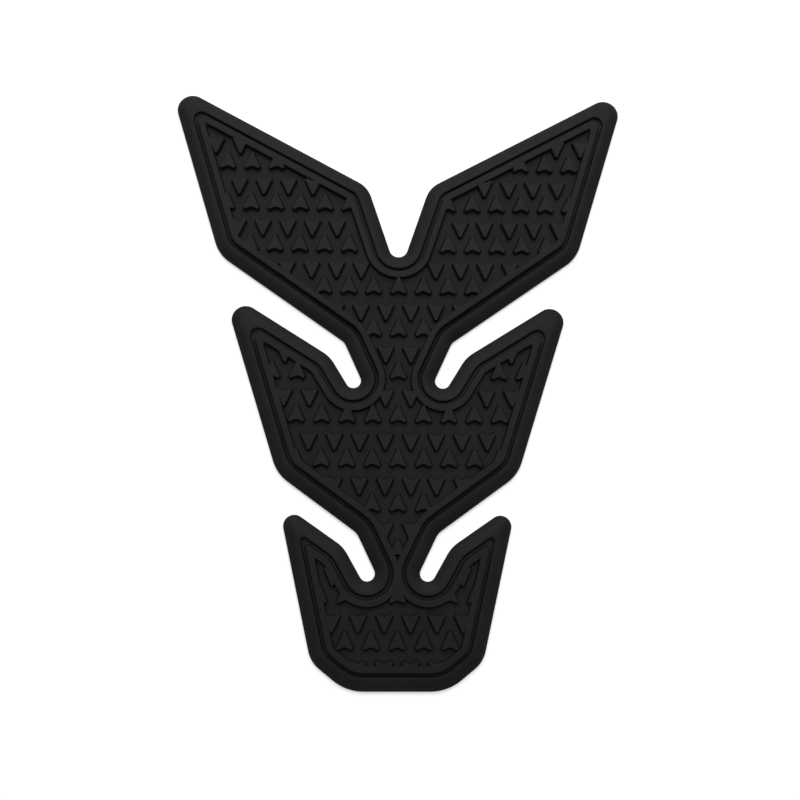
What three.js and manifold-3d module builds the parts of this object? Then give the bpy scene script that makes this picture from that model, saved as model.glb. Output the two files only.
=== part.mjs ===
// Motorcycle tank pad, one piece of moulded rubber that sticks to the fuel tank by its flat back.
// Millimetres. +X is to the rider's right, +Y towards the wings, +Z out of the patterned face.
// The back lies on z = 0, and the origin is at the middle of the back's box.
import * as THREE from 'three';
import { mergeGeometries, mergeVertices } from 'three/addons/utils/BufferGeometryUtils.js';
import Module from 'manifold-3d';

// Outline, right half. The left half mirrors it.
// A corner is where two straight edges would meet, and its round is the radius that eases it. The
// groove and the rim go round the tip of the tail more tightly than round the other tips.
const notchFootY = 43.4;
const notchFootRadius = 3.0;
const shoulderX = 10.05;
const shoulderY = 64.0;
const shoulderRound = 8.8;
const wingTipX = 76.1;
const wingTipY = 100.1;
const wingTipRound = 4.9;
const wingHeelX = 57.7;
const wingHeelY = 40.8;
const wingHeelRound = 12.0;
const wingRootX = 17.1;
const wingRootY = 12.3;
const wingRootRound = 4.0;
const upperSlotX = 14.1;
const upperSlotY = -0.1;
const upperSlotRadius = 2.4;
const middleRootX = 21.6;
const middleRootY = 7.6;
const middleRootRound = 11.0;
const middleTipX = 56.35;
const middleTipY = 29.5;
const middleTipRound = 4.4;
const middleHeelX = 37.5;
const middleHeelY = -29.6;
const middleHeelRound = 12.7;
const middleWaistX = 12.5;
const middleWaistY = -47.8;
const middleWaistRound = 5.8;
const lowerSlotX = 9.3;
const lowerSlotY = -60.0;
const lowerSlotRadius = 2.4;
const tailRootX = 16.6;
const tailRootY = -52.0;
const tailRootRound = 11.0;
const tailTipX = 37.0;
const tailTipY = -37.9;
const tailTipRound = 3.4;
const tailTipTightness = 0.45;
const tailHeelX = 26.1;
const tailHeelY = -86.2;
const tailHeelRound = 9.2;
const tailFootX = 15.3;
const tailFootY = -94.9;
const tailFootRound = 15.0;

// Section from the outer edge inwards: crowned border, groove, flat rim, recessed field. The crown
// springs from the edge height, and a round takes that corner down to the side height.
const sideHeight = 0.6;
const edgeHeight = 1.0;
const borderWidth = 4.25;
const borderHeight = 2.7;
const grooveWidth = 1.4;
const grooveFloor = 1.75;
const grooveTipRound = 2.6;
const rimWidth = 1.95;
const rimHeight = 4.0;
const rimTipRound = 1.8;
const fieldHeight = 2.5;
const fieldTipRound = 0.4;
const wallDraft = 0.35;

// Arrowheads that stand on the field, level with the rim. Rows point up and down by turns.
const arrowWidth = 5.35;
const arrowLength = 5.4;
const arrowTipWidth = 0.4;
const arrowHollow = 0.8;
const arrowHollowWidth = 3.7;
const arrowDraft = 0.55;
const columnPitch = 7.9;
const tailGap = 3.4;
const tipOverlap = 0.44;
const firstRowY = 0.08;
const leastShown = 0.09;

// How finely curves are divided, and how close two points are to count as one.
const arcStep = THREE.MathUtils.degToRad(15);
const crownSteps = [0.12, 0.5, 1];
const weldDistance = 1e-5;

// A round takes up less than half of the shorter edge beside it, so that two rounds never meet.
const roundShare = 0.45;

// A sharp corner of an arrowhead moves out no further than this many times what its edges do.
const longestMitre = 1.4;

// How far a joined or cutting solid runs past the face that it meets, and a distance that lies
// well outside the whole outline.
const overlap = 0.5;
const far = 2 * Math.max(wingTipX, wingTipY, -tailFootY);

const rubber = new THREE.MeshStandardMaterial({ color: 0x252527, roughness: 0.62, metalness: 0 });

const wasm = await Module();
wasm.setup();

// The right half of the outline, clockwise from the foot of the notch to the bottom edge.
// A slot end is a circle that the two sides of the slot touch.
const outline = [
  { x: 0, y: notchFootY, slotRadius: notchFootRadius },
  { x: shoulderX, y: shoulderY, round: shoulderRound },
  { x: wingTipX, y: wingTipY, round: wingTipRound },
  { x: wingHeelX, y: wingHeelY, round: wingHeelRound },
  { x: wingRootX, y: wingRootY, round: wingRootRound },
  { x: upperSlotX, y: upperSlotY, slotRadius: upperSlotRadius },
  { x: middleRootX, y: middleRootY, round: middleRootRound },
  { x: middleTipX, y: middleTipY, round: middleTipRound },
  { x: middleHeelX, y: middleHeelY, round: middleHeelRound },
  { x: middleWaistX, y: middleWaistY, round: middleWaistRound },
  { x: lowerSlotX, y: lowerSlotY, slotRadius: lowerSlotRadius },
  { x: tailRootX, y: tailRootY, round: tailRootRound },
  { x: tailTipX, y: tailTipY, round: tailTipRound, tightness: tailTipTightness },
  { x: tailHeelX, y: tailHeelY, round: tailHeelRound },
  { x: tailFootX, y: tailFootY, round: tailFootRound },
  { x: 0, y: tailFootY, round: 0 },
];

// The straight edge from one item of the outline to the next, as a point, a direction and the
// normal that points into the rubber. It passes a slot end on its right, at the slot's radius.
function edgeBetween(from, to) {
  const length = Math.hypot(to.x - from.x, to.y - from.y);
  let angle = Math.atan2(to.y - from.y, to.x - from.x);
  if (to.slotRadius) angle -= Math.asin(to.slotRadius / length);
  if (from.slotRadius) angle += Math.asin(from.slotRadius / length);
  const point = from.slotRadius ? to : from;
  return { x: point.x, y: point.y, angle, nx: Math.sin(angle), ny: -Math.cos(angle), length };
}

// Where two edges cross after both have moved along their normals.
function crossing(first, second, shift) {
  const a = first.nx * first.x + first.ny * first.y + shift;
  const b = second.nx * second.x + second.ny * second.y + shift;
  const det = first.nx * second.ny - first.ny * second.nx;
  return new THREE.Vector2(
    (a * second.ny - b * first.ny) / det,
    (first.nx * b - second.nx * a) / det,
  );
}

// Points on an arc that starts in one direction from its centre and turns by an angle.
function arcPoints({ centre, radius, start, turn, steps }) {
  const points = [];
  for (let i = 0; i <= steps; i += 1) {
    const angle = start + (turn * i) / steps;
    points.push(new THREE.Vector2(
      centre.x + radius * Math.cos(angle),
      centre.y + radius * Math.sin(angle),
    ));
  }
  return points;
}

// The corners of the right half, with the edges on both sides of each. A turn is positive to the
// left, which is an inner corner, and a slot end always turns left.
function outlineCorners() {
  const edges = outline.slice(1).map((item, i) => edgeBetween(outline[i], item));
  const corners = edges.slice(1).map((after, i) => {
    const before = edges[i];
    const item = outline[i + 1];
    const spin = after.angle - before.angle;
    const least = Math.atan2(Math.sin(spin), Math.cos(spin));
    const turn = item.slotRadius && least < 0 ? least + 2 * Math.PI : least;
    const shorter = Math.min(before.length, after.length);
    const room = roundShare * shorter / Math.tan(Math.abs(turn) / 2);
    const round = item.slotRadius ?? Math.min(item.round, room);
    const slotEnd = item.slotRadius ? item : null;
    const steps = Math.ceil(Math.abs(turn) / arcStep);
    return { before, after, turn, round, slotEnd, steps, tightness: item.tightness ?? 1 };
  });
  return { footTurn: edges[0].angle, corners };
}

// As a contour moves in, the edge between two outer corners can run out. The two then act as one
// corner between the edges beyond them, with as many points as they had.
function joinWhereSpent(corners, inset, tightRound) {
  const taken = ({ turn, round, tightness }) => (
    (inset + Math.max(round - inset, tightRound * tightness)) * Math.tan(-turn / 2)
  );
  return corners.reduce((kept, corner) => {
    const last = kept.at(-1);
    const outer = last && !last.joined && last.turn < 0 && corner.turn < 0;
    if (outer && taken(last) + taken(corner) > corner.before.length) {
      const steps = last.steps + corner.steps + 1;
      const turn = last.turn + corner.turn;
      const { after } = corner;
      kept[kept.length - 1] = { ...last, after, turn, round: 0, steps, joined: true };
    } else {
      kept.push(corner);
    }
    return kept;
  }, []);
}

// The right half of a contour that runs inside the outline at one distance from it, as far as the
// straight bottom edge. Outer corners tighten as it moves in, down to the round given, and inner
// corners and slot ends open out.
function halfContour(inset, tightRound) {
  const { footTurn, corners } = outlineCorners();
  const foot = {
    centre: outline[0],
    radius: notchFootRadius + inset,
    start: -Math.PI / 2,
    turn: footTurn,
    steps: Math.ceil(footTurn / arcStep),
  };
  const arcs = joinWhereSpent(corners, inset, tightRound).map((corner) => {
    const { before, after, turn, round, slotEnd, steps, tightness } = corner;
    const outer = turn < 0;
    const radius = outer ? Math.max(round - inset, tightRound * tightness) : round + inset;
    const centre = slotEnd ?? crossing(before, after, outer ? inset + radius : -round);
    const inward = Math.atan2(before.ny, before.nx);
    return { centre, radius, start: outer ? inward + Math.PI : inward, turn, steps };
  });
  return [foot, ...arcs].flatMap(arcPoints);
}

// A whole contour: the right half and its mirror image, counter-clockwise.
function fullContour(inset, tightRound) {
  const right = halfContour(inset, tightRound);
  const left = right.slice(1).reverse().map((p) => new THREE.Vector2(-p.x, p.y));
  return [...right, ...left].reverse();
}

// A closed solid through a stack of rings, each with the same number of points.
function loft(rings) {
  const count = rings[0].points.length;
  const positions = rings.flatMap(({ points, z }) => points.flatMap((p) => [p.x, p.y, z]));
  const indices = [];
  for (let r = 0; r + 1 < rings.length; r += 1) {
    for (let i = 0; i < count; i += 1) {
      const a = r * count + i;
      const b = r * count + ((i + 1) % count);
      indices.push(a, b, b + count, a, b + count, a + count);
    }
  }
  const top = (rings.length - 1) * count;
  for (const [a, b, c] of THREE.ShapeUtils.triangulateShape(rings[0].points, [])) {
    indices.push(a, c, b);
  }
  for (const [a, b, c] of THREE.ShapeUtils.triangulateShape(rings.at(-1).points, [])) {
    indices.push(top + a, top + b, top + c);
  }
  const geometry = new THREE.BufferGeometry();
  geometry.setAttribute('position', new THREE.Float32BufferAttribute(positions, 3));
  geometry.setIndex(indices);
  return geometry;
}

// Change between three.js geometry and a solid that can be joined and cut.
function toSolid(geometry) {
  const plain = geometry.clone();
  plain.deleteAttribute('normal');
  plain.deleteAttribute('uv');
  const merged = mergeVertices(plain, weldDistance);
  return new wasm.Manifold(new wasm.Mesh({
    numProp: 3,
    vertProperties: new Float32Array(merged.attributes.position.array),
    triVerts: new Uint32Array(merged.index.array),
  }));
}

function toGeometry(solid) {
  const mesh = solid.getMesh();
  const geometry = new THREE.BufferGeometry();
  geometry.setAttribute('position', new THREE.BufferAttribute(mesh.vertProperties, 3));
  geometry.setIndex(new THREE.BufferAttribute(mesh.triVerts, 1));
  geometry.computeVertexNormals();
  return geometry;
}

// Everything inside a sloped wall that follows the outline, between two heights. The wall runs
// from its top to its foot and on past them. Each half of the outline bounds one side, and the
// solid is what both sides hold, so it parts in two where the halves cross at a slot. Above the
// notch each side closes along a line that leans away from the middle, so the two don't touch.
function inside({ tightRound, top, foot, from, to }) {
  const side = (mirror) => {
    const rings = [from, to].map((z) => {
      const inset = THREE.MathUtils.mapLinear(z, foot.z, top.z, foot.inset, top.inset);
      const right = halfContour(inset, tightRound);
      const closing = [
        new THREE.Vector2(-far, right.at(-1).y),
        new THREE.Vector2(-far, far),
        new THREE.Vector2(-notchFootRadius, far),
      ];
      const ring = [...right, ...closing];
      const points = mirror ? ring.map((p) => new THREE.Vector2(-p.x, p.y)) : ring.reverse();
      return { points, z };
    });
    return toSolid(loft(rings));
  };
  return side(false).intersect(side(true));
}

// The arrowhead seen from above, pointing up, with the middle of its tail line at the origin. It
// has a blunt tip and two flat barbs, and its tail is hollow between them.
const arrowCorners = [
  [arrowWidth / 2, 0],
  [arrowTipWidth / 2, arrowLength],
  [-arrowTipWidth / 2, arrowLength],
  [-arrowWidth / 2, 0],
  [-arrowHollowWidth / 2, 0],
  [0, arrowHollow],
  [arrowHollowWidth / 2, 0],
].map(([x, y]) => new THREE.Vector2(x, y));

// A closed counter-clockwise outline whose edges have all moved out by one distance.
function spreadOutline(points, distance) {
  const outward = (from, to) => new THREE.Vector2(to.y - from.y, from.x - to.x).normalize();
  return points.map((point, i) => {
    const first = outward(points.at(i - 1), point);
    const second = outward(point, points[(i + 1) % points.length]);
    const middle = first.clone().add(second).normalize();
    const mitre = Math.min(1 / middle.dot(first), longestMitre);
    return middle.multiplyScalar(distance * mitre).add(point);
  });
}

// One arrowhead, drafted from below the field to the level of the rim.
function arrowhead(x, y, pointsUp) {
  const rootHeight = (fieldHeight + grooveFloor) / 2;
  const spread = arrowDraft * (rimHeight - rootHeight) / (rimHeight - fieldHeight);
  const geometry = loft([
    { points: spreadOutline(arrowCorners, spread), z: rootHeight },
    { points: arrowCorners, z: rimHeight },
  ]);
  if (!pointsUp) geometry.rotateZ(Math.PI);
  return geometry.translate(x, y, 0);
}

// Rows of arrowheads over the whole field. The down-pointing rows stand half a column aside.
// An arrowhead that would show no more than a sliver past the rim is left off.
function arrowField(pocket) {
  const rowPitch = 2 * arrowLength + tailGap - tipOverlap;
  const columns = Math.ceil(wingTipX / columnPitch);
  const firstRow = Math.floor((tailFootY - firstRowY) / rowPitch);
  const lastRow = Math.ceil((wingTipY - firstRowY) / rowPitch);
  const arrows = [];
  for (let row = firstRow; row <= lastRow; row += 1) {
    const y = firstRowY + row * rowPitch;
    for (let column = -columns; column <= columns; column += 1) {
      arrows.push(arrowhead(column * columnPitch, y, true));
      arrows.push(arrowhead((column + 0.5) * columnPitch, y - tailGap, false));
    }
  }
  const shown = arrows.filter((arrow) => {
    const solid = toSolid(arrow);
    return solid.intersect(pocket).volume() > leastShown * solid.volume();
  });
  return toSolid(mergeGeometries(shown));
}

function padGeometry() {
  const crown = crownSteps.map((t) => ({
    points: fullContour(t * borderWidth, grooveTipRound),
    z: edgeHeight + (borderHeight - edgeHeight) * (1 - (1 - t) ** 2),
  }));
  const side = [0, sideHeight].map((z) => ({ points: fullContour(0, grooveTipRound), z }));
  const blank = toSolid(loft([...side, ...crown]));

  const rimOuter = borderWidth + grooveWidth;
  const rimInner = rimOuter + rimWidth;
  const rimMiddle = (rimOuter + rimInner) / 2;
  const channel = inside({
    tightRound: grooveTipRound,
    top: { inset: borderWidth, z: borderHeight },
    foot: { inset: borderWidth + wallDraft, z: grooveFloor },
    from: grooveFloor,
    to: borderHeight + overlap,
  });
  const block = inside({
    tightRound: rimTipRound,
    top: { inset: rimOuter, z: rimHeight },
    foot: { inset: rimOuter - wallDraft, z: grooveFloor },
    from: grooveFloor - overlap,
    to: rimHeight,
  });
  const pocket = inside({
    tightRound: fieldTipRound,
    top: { inset: rimInner, z: rimHeight },
    foot: { inset: rimInner + wallDraft, z: fieldHeight },
    from: fieldHeight,
    to: rimHeight + overlap,
  });
  const reach = inside({
    tightRound: fieldTipRound,
    top: { inset: rimMiddle, z: rimHeight },
    foot: { inset: rimMiddle, z: grooveFloor },
    from: grooveFloor,
    to: rimHeight + overlap,
  });
  const arrows = arrowField(pocket).intersect(reach);
  return toGeometry(blank.subtract(channel).add(block).subtract(pocket).add(arrows));
}

const pad = new THREE.Mesh(padGeometry(), rubber);
pad.name = 'tank_pad';

// The origin goes to the middle of the back's box.
const box = new THREE.Box3().setFromPoints(fullContour(0, grooveTipRound).map(
  (p) => new THREE.Vector3(p.x, p.y, 0),
));
pad.position.y = -(box.min.y + box.max.y) / 2;

const group = new THREE.Group();
group.add(pad);

export default group;
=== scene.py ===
"""Motorcycle tank pad: one moulding of black rubber that lies on its flat back.

Sizes are in millimetres until a mesh is made, and +Z runs out of the patterned face. The pad is a
section carried along contours of its outline, and its grips are arrowheads that stand in the
sunk field, welded to it.
"""

import bpy
import numpy as np
from mathutils import Matrix, Vector


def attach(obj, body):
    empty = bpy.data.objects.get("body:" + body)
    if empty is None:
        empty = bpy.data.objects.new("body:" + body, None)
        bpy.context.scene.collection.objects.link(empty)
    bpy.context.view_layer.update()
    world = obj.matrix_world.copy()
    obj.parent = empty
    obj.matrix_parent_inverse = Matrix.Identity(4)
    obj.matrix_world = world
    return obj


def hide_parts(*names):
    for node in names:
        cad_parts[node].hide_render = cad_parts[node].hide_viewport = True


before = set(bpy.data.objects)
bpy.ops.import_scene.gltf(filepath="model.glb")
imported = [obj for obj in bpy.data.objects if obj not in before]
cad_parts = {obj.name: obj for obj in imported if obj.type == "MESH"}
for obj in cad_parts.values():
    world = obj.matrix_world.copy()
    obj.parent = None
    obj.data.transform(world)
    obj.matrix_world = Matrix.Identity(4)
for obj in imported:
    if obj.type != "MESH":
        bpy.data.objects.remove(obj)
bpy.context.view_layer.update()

MM = 0.001

# The right half of the outline, clockwise from the foot of the notch to the bottom edge. A corner
# is where two straight edges would meet, and its radius eases it. A slot end is a circle that both
# sides of the slot touch.
OUTLINE = [
    ("slot", 0.0, 43.4, 3.0),  # foot of the notch
    ("corner", 10.05, 64.0, 8.8),  # shoulder
    ("corner", 76.1, 100.1, 4.9),  # wing tip
    ("corner", 57.7, 40.8, 12.0),  # wing heel
    ("corner", 17.1, 12.3, 4.0),  # wing root
    ("slot", 14.1, -0.1, 2.4),  # upper slot
    ("corner", 21.6, 7.6, 11.0),  # root of the middle tier
    ("corner", 56.35, 29.5, 4.4),  # its tip
    ("corner", 37.5, -29.6, 12.7),  # its heel
    ("corner", 12.5, -47.8, 5.8),  # its waist
    ("slot", 9.3, -60.0, 2.4),  # lower slot
    ("corner", 16.6, -52.0, 11.0),  # root of the tail
    ("corner", 37.0, -37.9, 3.4),  # its tip
    ("corner", 26.1, -86.2, 9.2),  # its heel
    ("corner", 15.3, -94.9, 15.0),  # its foot
    ("corner", 0.0, -94.9, 0.0),  # middle of the bottom edge
]

# Places in the outline that are treated apart. The groove and the rim go round the tip of the tail
# in this share of the radius that they have round the other tips.
LOWER_SLOT = 10
TAIL_TIP = 12
TAIL_TIP_TIGHTNESS = 0.45

# Section from the outer edge inwards: crowned border, groove, flat rim, sunk field. A lip or a
# fillet is the radius of a small edge, and a tip is the least radius of a contour's outer corners.
EDGE_HEIGHT = 1.0
EDGE_ROUND = 0.6
BORDER_WIDTH = 4.25
BORDER_HEIGHT = 2.7
BORDER_LIP = 0.32
BORDER_TIP = 2.6
GROOVE_WIDTH = 1.4
GROOVE_FLOOR = 1.75
GROOVE_FILLET = 0.22
RIM_WIDTH = 1.95
RIM_HEIGHT = 4.0
RIM_LIP = 0.28
RIM_TIP = 1.8
FIELD_HEIGHT = 2.5
FIELD_TIP = 0.5
FIELD_FILLET = 0.2
WALL_DRAFT = 0.35
RIM_OUTER = BORDER_WIDTH + GROOVE_WIDTH
RIM_INNER = RIM_OUTER + RIM_WIDTH
RIM_MIDDLE = (RIM_OUTER + RIM_INNER) / 2

# Arrowheads, and the rows that they stand in. Rows point up and down by turns. An arrowhead is
# shown if more than a least share of it lies in the field, found on a grid of points.
ARROW_WIDTH = 5.35
ARROW_LENGTH = 5.4
ARROW_TIP_WIDTH = 0.4
ARROW_TIP_ROUND = 0.26
ARROW_HOLLOW = 0.8
ARROW_HOLLOW_WIDTH = 3.7
ARROW_HOLLOW_ROUND = 1.3
ARROW_BARB_ROUND = 0.32
ARROW_DRAFT = 0.55
ARROW_LIP = 0.16
COLUMN_PITCH = 7.9
TAIL_GAP = 3.4
TIP_OVERLAP = 0.44
FIRST_ROW = 0.08
LEAST_SHOWN = 0.16
SHOWN_STEP = 0.2

# How finely curves are divided, and how many points ease an arrowhead's corners.
ARC_STEP = np.radians(5.0)
CROWN_STEPS = 9
LIP_STEPS = 4
ARROW_LIP_STEPS = 2
ARROW_ROUND_POINTS = 2
ARROW_HOLLOW_POINTS = 3

# How far a cutting solid runs past the face that it cuts, and how far its lip stands above the rim.
OVERLAP = 0.5
LIP_LIFT = 0.01

# What counts as a flat face at a given height, and the angle from which an edge stays sharp.
LEVEL_NORMAL = 0.999
LEVEL_SPAN = 0.01
SHARP_ANGLE = np.radians(50)

# Black rubber. The grain and the bloom are sizes in millimetres.
RUBBER_DARK = "#171719"
RUBBER_PALE = "#1b1b1d"
RUBBER_SPECULAR = 0.15
SMOOTH_ROUGHNESS = 0.54
GRAINED_ROUGHNESS = 0.62
GRAIN_ROUGHNESS = 0.14
GRAIN_SIZE = 0.3
GRAIN_DEPTH = 0.02
GRAIN_STRENGTH = 0.35
BLOOM_SIZE = 14.0
BLOOM_SPAN = (0.35, 0.7)

# The floor, in metres. It lies a hair below the pad's back, so that the two faces don't coincide.
# Its lift to white grows from the near distance to the far one, as the lamp's light fades.
FLOOR_SIZE = 6.0
FLOOR_DROP = 0.00005
FLOOR_LIFT = 0.4
LIFT_NEAR = 0.15
LIFT_FAR = 0.7

# Light: a soft box above the wings, in metres and watts, and the room's level.
KEY_PLACE = (0.0, 0.65, 0.95)
KEY_SIZE = 1.2
KEY_POWER = 13.5
ROOM_LEVEL = 0.24

# Camera: where it is, in millimetres, its turns about X, Y and Z, in degrees, and its lens.
CAMERA_PLACE = (-7.35, -58.54, 310.72)
CAMERA_TURNS = (9.582, -1.455, 0.422)
CAMERA_LENS = 45
CAMERA_SENSOR = 36
CAMERA_NEAR = 0.01


def rounded_section(corners, steps=LIP_STEPS):
    """A section's corners, each eased by its radius.

    A corner is (inset, height, tip radius, radius). Its arc touches both lines at a distance of
    radius / tan(half the angle between them) from the corner. The points of the arc are the two
    touching points, weighed by sin((1 - t) * turn) / sin(turn) and sin(t * turn) / sin(turn), as
    seen from the arc's centre on the bisector. The tip radius is interpolated along the inset.
    """
    rows = np.array(corners, float)
    way = np.sign(rows[-1, 0] - rows[0, 0])
    points = [rows[0, :3]]
    for before, here, after in zip(rows[:-2], rows[1:-1], rows[2:]):
        if here[3] == 0:
            points.append(here[:3])
            continue
        way_in = before[:2] - here[:2]
        way_out = after[:2] - here[:2]
        way_in /= np.hypot(*way_in)
        way_out /= np.hypot(*way_out)
        half = np.arccos(np.clip(way_in @ way_out, -1, 1)) / 2
        centre = here[:2] + (way_in + way_out) / (2 * np.cos(half)) * here[3] / np.sin(half)
        reach = here[3] / np.tan(half)
        first = here[:2] + way_in * reach - centre
        last = here[:2] + way_out * reach - centre
        turn = np.pi - 2 * half
        t = np.linspace(0, 1, steps + 1)[:, None]
        arc = centre + (np.sin((1 - t) * turn) * first + np.sin(t * turn) * last) / np.sin(turn)
        tip = np.interp(way * arc[:, 0], way * rows[:, 0], rows[:, 2])
        points.extend(np.column_stack([arc, tip]))
    points.append(rows[-1, :3])
    return np.array(points)


def outline_edges():
    """The straight edges between the outline's items: a point, the angle and the inward normal.

    Beside a slot end, the line between the two places is turned by asin(radius / distance), which
    makes it touch the circle.
    """
    edges = []
    for start, end in zip(OUTLINE[:-1], OUTLINE[1:]):
        way = np.array(end[1:3]) - start[1:3]
        angle = np.arctan2(way[1], way[0])
        if end[0] == "slot":
            angle -= np.arcsin(end[3] / np.hypot(*way))
        if start[0] == "slot":
            angle += np.arcsin(start[3] / np.hypot(*way))
        point = np.array(end[1:3] if start[0] == "slot" else start[1:3])
        edges.append((point, angle, np.array([np.sin(angle), -np.cos(angle)])))
    return edges


def contour_arcs(insets, tips):
    """The arcs of the outline's right half at each inset: centre, radius, start and turn.

    The centre of an outer corner's arc is where both edges, moved in by inset + radius, cross. Its
    radius is the corner's own less the inset, and at least the tip radius, of which the tip of the
    tail takes a share. An inner corner and a slot end keep their centre, and their radius grows by
    the inset.
    """
    edges = outline_edges()
    foot = OUTLINE[0]
    ones = np.ones_like(insets)
    centre = np.outer(ones, foot[1:3])
    arcs = [(centre, foot[3] + insets, -np.pi / 2 * ones, edges[0][1] * ones)]
    for place, item in enumerate(OUTLINE[1:-1], start=1):
        before, after = edges[place - 1], edges[place]
        spin = after[1] - before[1]
        turn = np.arctan2(np.sin(spin), np.cos(spin))
        start = np.arctan2(before[2][1], before[2][0])
        if item[0] == "slot":
            turn = turn % (2 * np.pi)
            arcs.append((np.outer(ones, item[1:3]), item[3] + insets, start * ones, turn * ones))
            continue
        outer = turn < 0
        tightest = tips * TAIL_TIP_TIGHTNESS if place == TAIL_TIP else tips
        radius = np.maximum(item[3] - insets, tightest) if outer else item[3] + insets
        shift = insets + radius if outer else -item[3] * ones
        normals = np.array([before[2], after[2]])
        offsets = np.array([before[2] @ before[0], after[2] @ after[0]])
        centre = np.linalg.solve(normals, (offsets + shift[:, None]).T).T
        arcs.append((centre, radius, (start + np.pi * outer) * ones, turn * ones))
    return arcs


def arc_points(arcs):
    """Points on every arc at every inset: centre + radius * (cos, sin) of start + t * turn."""
    parts = []
    for centre, radius, start, turn in arcs:
        steps = max(1, int(np.ceil(np.abs(turn).max() / ARC_STEP)))
        angle = start[:, None] + turn[:, None] * np.linspace(0, 1, steps + 1)
        circle = np.stack([np.cos(angle), np.sin(angle)], axis=-1)
        parts.append(centre[:, None] + radius[:, None, None] * circle)
    return np.concatenate(parts, axis=1)


def mirrored(right, ends_on_axis):
    """Whole rings, counter-clockwise, from right halves that start on the middle line.

    The left half is the right half with x negated, in the other order. Points on the middle line
    are kept once.
    """
    inner = right[:, 1:-1] if ends_on_axis else right[:, 1:]
    left = inner[:, ::-1] * [-1, 1]
    return np.concatenate([right, left], axis=1)[:, ::-1]


def whole_rings(section):
    """Rings of the whole outline, one for each point of the section."""
    return mirrored(arc_points(contour_arcs(section[:, 0], section[:, 2])), False)


def pocket_rings(section):
    """Rings of the field's two parts, above and below the lower slots.

    The walls round the two lower slots cross on the middle line. There the arc round a slot passes
    x = 0 at angles of pi -/+ acos(slot x / radius), so the upper part takes the arc as far as the
    first, and the lower part takes it from the second.
    """
    arcs = contour_arcs(section[:, 0], section[:, 2])
    centre, radius, start, turn = arcs[LOWER_SLOT]
    spread = np.arccos(centre[:, 0] / radius)
    upper_slot = (centre, radius, start, np.pi - spread - start)
    lower_slot = (centre, radius, np.pi + spread, start + turn - np.pi - spread)
    upper = arc_points([*arcs[:LOWER_SLOT], upper_slot])
    lower = arc_points([lower_slot, *arcs[LOWER_SLOT + 1:]])
    return mirrored(upper, True), mirrored(lower, False)


def loft(rings, heights):
    """Vertices and faces of a closed solid through rings of equal length, from the lowest up."""
    levels, count = rings.shape[:2]
    z = np.broadcast_to(np.asarray(heights)[:, None, None], (levels, count, 1))
    vertices = np.concatenate([rings, z], axis=2).reshape(-1, 3)
    low = np.arange(levels - 1)[:, None] * count + np.arange(count)
    beside = np.arange(levels - 1)[:, None] * count + (np.arange(count) + 1) % count
    quads = np.stack([low, beside, beside + count, low + count], axis=-1).reshape(-1, 4)
    caps = [np.arange(count)[::-1], (levels - 1) * count + np.arange(count)]
    return vertices, [*quads.tolist(), *(cap.tolist() for cap in caps)]


def link_object(name, data):
    """A new object with its data, linked to the scene."""
    new = bpy.data.objects.new(name, data)
    bpy.context.scene.collection.objects.link(new)
    return new


def make_object(name, parts):
    """One mesh object from (vertices in millimetres, faces) pairs, each a closed solid."""
    vertices = np.concatenate([part[0] for part in parts]) * MM
    faces = []
    first = 0
    for points, polygons in parts:
        faces += [[first + i for i in polygon] for polygon in polygons]
        first += len(points)
    mesh = bpy.data.meshes.new(name)
    mesh.from_pydata(vertices.tolist(), [], faces)
    return link_object(name, mesh)


def combine(piece, other, operation):
    """Join, cut or keep what both hold, and drop the other object."""
    modifier = piece.modifiers.new(operation, "BOOLEAN")
    modifier.operation = operation
    modifier.solver = "MANIFOLD"
    modifier.object = other
    depsgraph = bpy.context.evaluated_depsgraph_get()
    result = bpy.data.meshes.new_from_object(piece.evaluated_get(depsgraph))
    piece.modifiers.clear()
    old = piece.data
    piece.data = result
    bpy.data.meshes.remove(old)
    bpy.data.objects.remove(other)


def body_solid():
    """Back, outer edge, crowned border, groove and the rim's outer wall, closed over at its top.

    The crown is edge + (border - edge) * (1 - (1 - t)^2), with t from 0 at the outer edge to 1 at
    the groove.
    """
    rise = BORDER_HEIGHT - EDGE_HEIGHT
    crown = [
        (t * BORDER_WIDTH, EDGE_HEIGHT + rise * (1 - (1 - t) ** 2), BORDER_TIP, 0)
        for t in np.linspace(0, 1, CROWN_STEPS + 1)[1:-1]
    ]
    section = rounded_section([
        (0, 0, BORDER_TIP, 0),
        (0, EDGE_HEIGHT, BORDER_TIP, EDGE_ROUND),
        *crown,
        (BORDER_WIDTH, BORDER_HEIGHT, BORDER_TIP, BORDER_LIP),
        (BORDER_WIDTH + WALL_DRAFT, GROOVE_FLOOR, BORDER_TIP - WALL_DRAFT, GROOVE_FILLET),
        (RIM_OUTER - WALL_DRAFT, GROOVE_FLOOR, RIM_TIP + WALL_DRAFT, GROOVE_FILLET),
        (RIM_OUTER, RIM_HEIGHT, RIM_TIP, RIM_LIP),
        (RIM_MIDDLE, RIM_HEIGHT, RIM_TIP - RIM_WIDTH / 2, 0),
    ])
    return loft(whole_rings(section), section[:, 1])


def pocket_section():
    """The field's wall from the floor up: fillet, drafted wall, and a lip that opens outwards."""
    section = rounded_section([
        (RIM_INNER + WALL_DRAFT + 2 * FIELD_FILLET, FIELD_HEIGHT, FIELD_TIP / 2, 0),
        (RIM_INNER + WALL_DRAFT, FIELD_HEIGHT, FIELD_TIP, FIELD_FILLET),
        (RIM_INNER, RIM_HEIGHT + LIP_LIFT, FIELD_TIP, RIM_LIP),
        (RIM_INNER - 2 * RIM_LIP, RIM_HEIGHT + LIP_LIFT, FIELD_TIP + RIM_LIP, 0),
    ])
    section = section[1:-1]
    return np.vstack([section, section[-1] + [0, OVERLAP, 0]])


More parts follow.
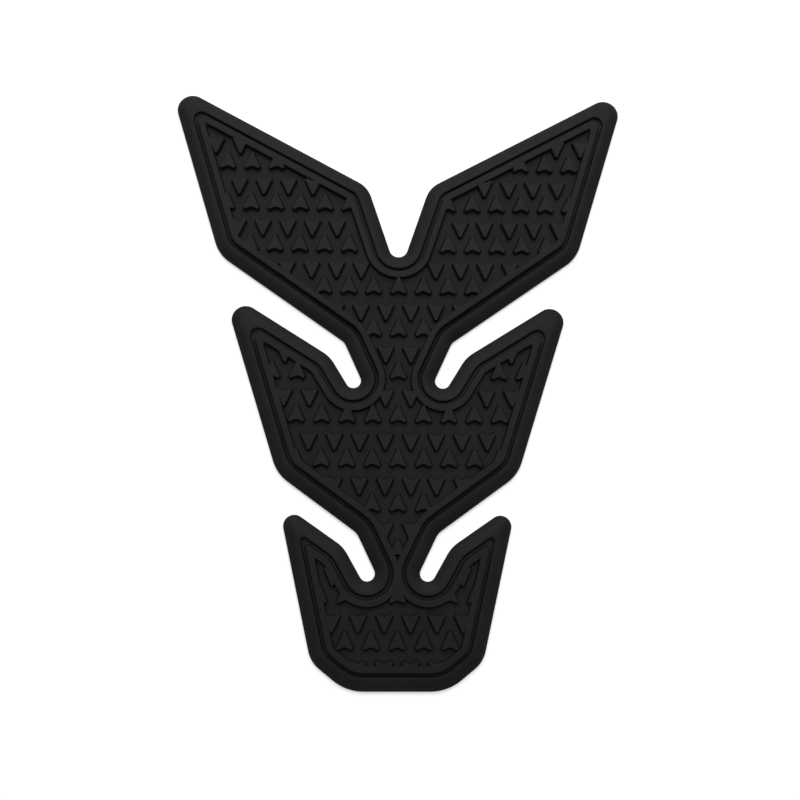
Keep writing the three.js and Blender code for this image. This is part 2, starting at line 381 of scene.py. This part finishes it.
def arrow_outline():
    """The arrowhead's outline from above, pointing up, and the outward normal at each point.

    Its corners run counter-clockwise: the right barb, the tip, the left barb, and the hollow of its
    tail with a shoulder on each side. Each is eased by an arc about a point on its bisector, at
    radius / cos(half its turn) from where its edges would meet. The hollow turns the other way, so
    its arc lies on the far side of its centre.
    """
    half = ARROW_WIDTH / 2
    shoulder = ARROW_HOLLOW_WIDTH / 2
    tip = ARROW_LENGTH * ARROW_WIDTH / (ARROW_WIDTH - ARROW_TIP_WIDTH)
    reach = np.hypot(shoulder, ARROW_HOLLOW)
    hollow = ARROW_HOLLOW + ARROW_HOLLOW_ROUND * (reach / shoulder - 1)
    corners = [
        (half, 0, ARROW_BARB_ROUND, ARROW_ROUND_POINTS),
        (0, tip, ARROW_TIP_ROUND, ARROW_ROUND_POINTS),
        (-half, 0, ARROW_BARB_ROUND, ARROW_ROUND_POINTS),
        (-shoulder, 0, 0, 1),
        (0, hollow, ARROW_HOLLOW_ROUND, ARROW_HOLLOW_POINTS),
        (shoulder, 0, 0, 1),
    ]
    points = []
    normals = []
    for i, (*place, radius, count) in enumerate(corners):
        corner = np.array(place)
        way_in = corner - corners[i - 1][:2]
        way_out = np.array(corners[(i + 1) % len(corners)][:2]) - corner
        way_in /= np.hypot(*way_in)
        way_out /= np.hypot(*way_out)
        first = np.arctan2(-way_in[0], way_in[1])
        spin = np.arctan2(way_in[0] * way_out[1] - way_in[1] * way_out[0], way_in @ way_out)
        bisector = (way_out - way_in) / np.hypot(*(way_out - way_in))
        centre = corner + bisector * radius / np.cos(spin / 2)
        share = np.linspace(0, 1, count) if count > 1 else np.array([0.5])
        angle = first + spin * share
        normal = np.stack([np.cos(angle), np.sin(angle)], axis=-1)
        points.append(centre + np.sign(spin) * radius * normal)
        normals.append(normal)
    return np.concatenate(points), np.concatenate(normals)


def arrow_solid():
    """One arrowhead: its outline moved along its normals by the section of its wall and lip."""
    points, normals = arrow_outline()
    root = (FIELD_HEIGHT + GROOVE_FLOOR) / 2
    spread = ARROW_DRAFT * (RIM_HEIGHT - root) / (RIM_HEIGHT - FIELD_HEIGHT)
    wall = rounded_section([
        (spread, root, 0, 0),
        (0, RIM_HEIGHT, 0, ARROW_LIP),
        (-2 * ARROW_LIP, RIM_HEIGHT, 0, 0),
    ], steps=ARROW_LIP_STEPS)[:-1]
    rings = points + wall[:, 0, None, None] * normals
    return loft(rings, wall[:, 1])


def held_share(samples, contour):
    """The share of each group of points that a closed contour holds.

    A point lies inside if a line from it to the right crosses the contour an odd number of times.
    """
    start = contour
    end = np.roll(contour, -1, axis=0)
    x, y = samples[..., 0, None], samples[..., 1, None]
    spans = (start[:, 1] > y) != (end[:, 1] > y)
    rise = np.where(end[:, 1] == start[:, 1], 1, end[:, 1] - start[:, 1])
    meets = start[:, 0] + (y - start[:, 1]) / rise * (end[:, 0] - start[:, 0])
    return ((spans & (x < meets)).sum(axis=-1) % 2).mean(axis=-1)


def arrow_places():
    """Where arrowheads can stand: x, y, and 1 for one that points up or -1 for one turned round.

    Up-pointing rows stand on a grid of columns and rows. Down-pointing rows stand half a column
    aside, and a tail gap below.
    """
    row_pitch = 2 * ARROW_LENGTH + TAIL_GAP - TIP_OVERLAP
    reach_x = max(item[1] for item in OUTLINE)
    reach_y = max(abs(item[2]) for item in OUTLINE)
    columns = np.arange(-np.ceil(reach_x / COLUMN_PITCH), np.ceil(reach_x / COLUMN_PITCH) + 1)
    rows = np.arange(-np.ceil(reach_y / row_pitch) - 1, np.ceil(reach_y / row_pitch) + 2)
    x, y = np.meshgrid(columns * COLUMN_PITCH, FIRST_ROW + rows * row_pitch)
    up = np.stack([x.ravel(), y.ravel(), np.ones(x.size)], axis=-1)
    down = np.stack([x.ravel() + COLUMN_PITCH / 2, y.ravel() - TAIL_GAP, -np.ones(x.size)], axis=-1)
    return np.concatenate([up, down])


def arrow_field(contours):
    """The arrowheads that show in the field, each as vertices and faces.

    One that would show no more than a sliver is left off: its outline at half height is compared
    with the contours of the field's wall at half height.
    """
    places = arrow_places()
    outline, normals = arrow_outline()
    outline = outline + ARROW_DRAFT / 2 * normals
    steps = np.ceil(ARROW_LENGTH / SHOWN_STEP)
    across = np.arange(-steps, steps + 1) * SHOWN_STEP
    grid = np.stack(np.meshgrid(across, across + ARROW_LENGTH / 2), axis=-1).reshape(-1, 1, 2)
    samples = grid[held_share(grid, outline) > 0, 0]
    held = [
        sum(held_share(samples * turn + (x, y), contour) for contour in contours)
        for x, y, turn in places
    ]
    places = places[np.array(held) > LEAST_SHOWN]

    vertices, faces = arrow_solid()
    flat = vertices[None, :, :2] * places[:, None, 2:] + places[:, None, :2]
    height = np.broadcast_to(vertices[None, :, 2:], (*flat.shape[:2], 1))
    every = np.concatenate([flat, height], axis=2)
    return [(points, faces) for points in every]


def mark_grained(mesh):
    """Mark the faces that lie flat on the field or the groove's floor, which are grained."""
    count = len(mesh.polygons)
    centres = np.empty(3 * count)
    normals = np.empty(3 * count)
    mesh.polygons.foreach_get("center", centres)
    mesh.polygons.foreach_get("normal", normals)
    height = centres[2::3] / MM
    flat = normals[2::3] > LEVEL_NORMAL
    floor = np.minimum(np.abs(height - FIELD_HEIGHT), np.abs(height - GROOVE_FLOOR)) < LEVEL_SPAN
    grained = mesh.attributes.new("grained", "FLOAT", "FACE")
    grained.data.foreach_set("value", (flat & floor).astype(float))


def make_pad():
    """The whole pad: its body, less the two parts of the field, with the arrowheads welded in."""
    section = pocket_section()
    upper, lower = pocket_rings(section)
    pad = make_object("pad_moulding", [body_solid()])
    heights = section[:, 1]
    combine(pad, make_object("pocket", [loft(upper, heights), loft(lower, heights)]), "DIFFERENCE")

    middle = len(section) // 2
    arrows = make_object("arrowheads", arrow_field([upper[middle], lower[middle]]))
    reach = np.array([[RIM_MIDDLE, 0, RIM_TIP - RIM_WIDTH / 2]] * 2)
    reach_heights = [GROOVE_FLOOR, RIM_HEIGHT + OVERLAP]
    combine(arrows, make_object("reach", [loft(whole_rings(reach), reach_heights)]), "INTERSECT")
    combine(pad, arrows, "UNION")

    mark_grained(pad.data)
    pad.data.shade_smooth()
    pad.data.set_sharp_from_angle(angle=SHARP_ANGLE)
    normals = pad.modifiers.new("flat_faces_stay_flat", "WEIGHTED_NORMAL")
    normals.keep_sharp = True
    return pad


def colour(code):
    """The linear colour of an sRGB hex value."""
    srgb = np.array([int(code[i:i + 2], 16) for i in (1, 3, 5)]) / 255
    linear = np.where(srgb <= 0.04045, srgb / 12.92, ((srgb + 0.055) / 1.055) ** 2.4)
    return (*linear.tolist(), 1.0)


def empty_tree(owner):
    """The node tree of a material or a world, with nothing in it."""
    owner.use_nodes = True
    owner.node_tree.nodes.clear()
    return owner.node_tree


def add_node(tree, kind, links=None, values=None, **properties):
    """Add a node. Links are socket: source, and values are socket: constant."""
    node = tree.nodes.new(kind)
    for key, value in properties.items():
        setattr(node, key, value)
    for key, value in (values or {}).items():
        node.inputs[key].default_value = value
    for key, source in (links or {}).items():
        tree.links.new(source, node.inputs[key])
    return node


def moulded_rubber():
    """Black compression-moulded rubber, straight from a spark-eroded mould.

    The eye sees a deep neutral black with a soft sheen. It is broader on the floors of the field
    and the groove, where the mould's grain is deepest, and tighter on the border, the rim and the
    arrowheads. A faint bloom clouds it.
    """
    material = bpy.data.materials.new("moulded_rubber")
    tree = empty_tree(material)
    place = add_node(tree, "ShaderNodeTexCoord").outputs["Object"]
    grain = add_node(
        tree, "ShaderNodeTexNoise", {"Vector": place},
        {"Scale": 1 / (GRAIN_SIZE * MM), "Detail": 3.0, "Roughness": 0.6},
    )
    bloom = add_node(
        tree, "ShaderNodeTexNoise", {"Vector": place},
        {"Scale": 1 / (BLOOM_SIZE * MM), "Detail": 4.0, "Roughness": 0.55},
    )
    tint = add_node(tree, "ShaderNodeValToRGB", {"Fac": bloom.outputs["Fac"]})
    stops = tint.color_ramp.elements
    for stop, level, code in zip(stops, BLOOM_SPAN, (RUBBER_DARK, RUBBER_PALE)):
        stop.position = level
        stop.color = colour(code)
    grained = add_node(tree, "ShaderNodeAttribute", attribute_name="grained")
    sheen = add_node(
        tree, "ShaderNodeMapRange", {"Value": grained.outputs["Fac"]},
        {"To Min": SMOOTH_ROUGHNESS, "To Max": GRAINED_ROUGHNESS},
    )
    speckle = add_node(
        tree, "ShaderNodeMapRange", {"Value": grain.outputs["Fac"]},
        {"To Min": 0.0, "To Max": GRAIN_ROUGHNESS},
    )
    gloss = add_node(
        tree, "ShaderNodeMath", {0: sheen.outputs["Result"], 1: speckle.outputs["Result"]},
        operation="ADD",
    )
    relief = add_node(
        tree, "ShaderNodeBump", {"Height": grain.outputs["Fac"]},
        {"Strength": GRAIN_STRENGTH, "Distance": GRAIN_DEPTH * MM},
    )
    surface = add_node(
        tree, "ShaderNodeBsdfPrincipled",
        {
            "Base Color": tint.outputs["Color"],
            "Roughness": gloss.outputs["Value"],
            "Normal": relief.outputs["Normal"],
        },
        {"IOR": 1.5, "Specular IOR Level": RUBBER_SPECULAR},
    )
    add_node(tree, "ShaderNodeOutputMaterial", {"Surface": surface.outputs["BSDF"]})
    return material


def floor_material():
    """Matt white paint. Seen straight or in a gloss it is lifted to white, and it keeps a shadow.

    The lift grows with the distance from the pad, as the lamp's light fades.
    """
    material = bpy.data.materials.new("white_paint")
    tree = empty_tree(material)
    ray = add_node(tree, "ShaderNodeLightPath")
    straight = add_node(
        tree, "ShaderNodeMath",
        {0: ray.outputs["Is Camera Ray"], 1: ray.outputs["Is Glossy Ray"]}, operation="MAXIMUM",
    )
    seen = add_node(
        tree, "ShaderNodeMath",
        {0: straight.outputs["Value"], 1: ray.outputs["Is Transmission Ray"]}, operation="MAXIMUM",
    )
    place = add_node(tree, "ShaderNodeTexCoord")
    away = add_node(tree, "ShaderNodeVectorMath", {0: place.outputs["Object"]}, operation="LENGTH")
    level = add_node(
        tree, "ShaderNodeMapRange", {"Value": away.outputs["Value"]},
        {"From Min": LIFT_NEAR, "From Max": LIFT_FAR, "To Min": FLOOR_LIFT, "To Max": 1.0},
    )
    lift = add_node(
        tree, "ShaderNodeMath", {0: seen.outputs["Value"], 1: level.outputs["Result"]},
        operation="MULTIPLY",
    )
    surface = add_node(
        tree, "ShaderNodeBsdfPrincipled", {"Emission Strength": lift.outputs["Value"]},
        {"Roughness": 0.9, "Base Color": colour("#e8e8e8"), "Emission Color": colour("#ffffff")},
    )
    add_node(tree, "ShaderNodeOutputMaterial", {"Surface": surface.outputs["BSDF"]})
    return material


def make_floor():
    """A square of white paint under the pad."""
    half = FLOOR_SIZE / 2
    corners = [(-half, -half), (half, -half), (half, half), (-half, half)]
    mesh = bpy.data.meshes.new("floor")
    mesh.from_pydata([(x, y, -FLOOR_DROP) for x, y in corners], [], [(0, 1, 2, 3)])
    mesh.materials.append(floor_material())
    link_object("floor", mesh)


def make_key():
    """A square soft box that faces the middle of the pad."""
    lamp = bpy.data.lights.new("key", "AREA")
    lamp.size = KEY_SIZE
    lamp.energy = KEY_POWER
    holder = link_object("key", lamp)
    holder.location = KEY_PLACE
    holder.rotation_euler = (-Vector(KEY_PLACE)).to_track_quat("-Z", "Y").to_euler()


def make_world():
    """A dim grey room that the camera sees as white."""
    world = bpy.data.worlds.new("room")
    bpy.context.scene.world = world
    tree = empty_tree(world)
    ray = add_node(tree, "ShaderNodeLightPath")
    level = add_node(
        tree, "ShaderNodeMapRange", {"Value": ray.outputs["Is Camera Ray"]},
        {"To Min": ROOM_LEVEL, "To Max": 1.0},
    )
    room = add_node(
        tree, "ShaderNodeBackground", {"Strength": level.outputs["Result"]},
        {"Color": colour("#ffffff")},
    )
    add_node(tree, "ShaderNodeOutputWorld", {"Surface": room.outputs["Background"]})


def make_camera():
    """A 45 mm lens held 0.32 m above the pad, a little towards its tail and tilted to its wings."""
    lens = bpy.data.cameras.new("camera")
    lens.lens = CAMERA_LENS
    lens.sensor_width = CAMERA_SENSOR
    lens.clip_start = CAMERA_NEAR
    camera = link_object("camera", lens)
    tilt, swing, roll = (
        Matrix.Rotation(np.radians(turn), 4, axis) for turn, axis in zip(CAMERA_TURNS, "XYZ")
    )
    camera.matrix_world = Matrix.Translation(Vector(CAMERA_PLACE) * MM) @ tilt @ swing @ roll
    bpy.context.scene.camera = camera


pad = make_pad()
pad.data.materials.clear()
pad.data.materials.append(moulded_rubber())
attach(pad, "root")
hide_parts("tank_pad")

make_floor()
make_world()
make_key()
make_camera()
bpy.context.scene.view_settings.view_transform = "Standard"
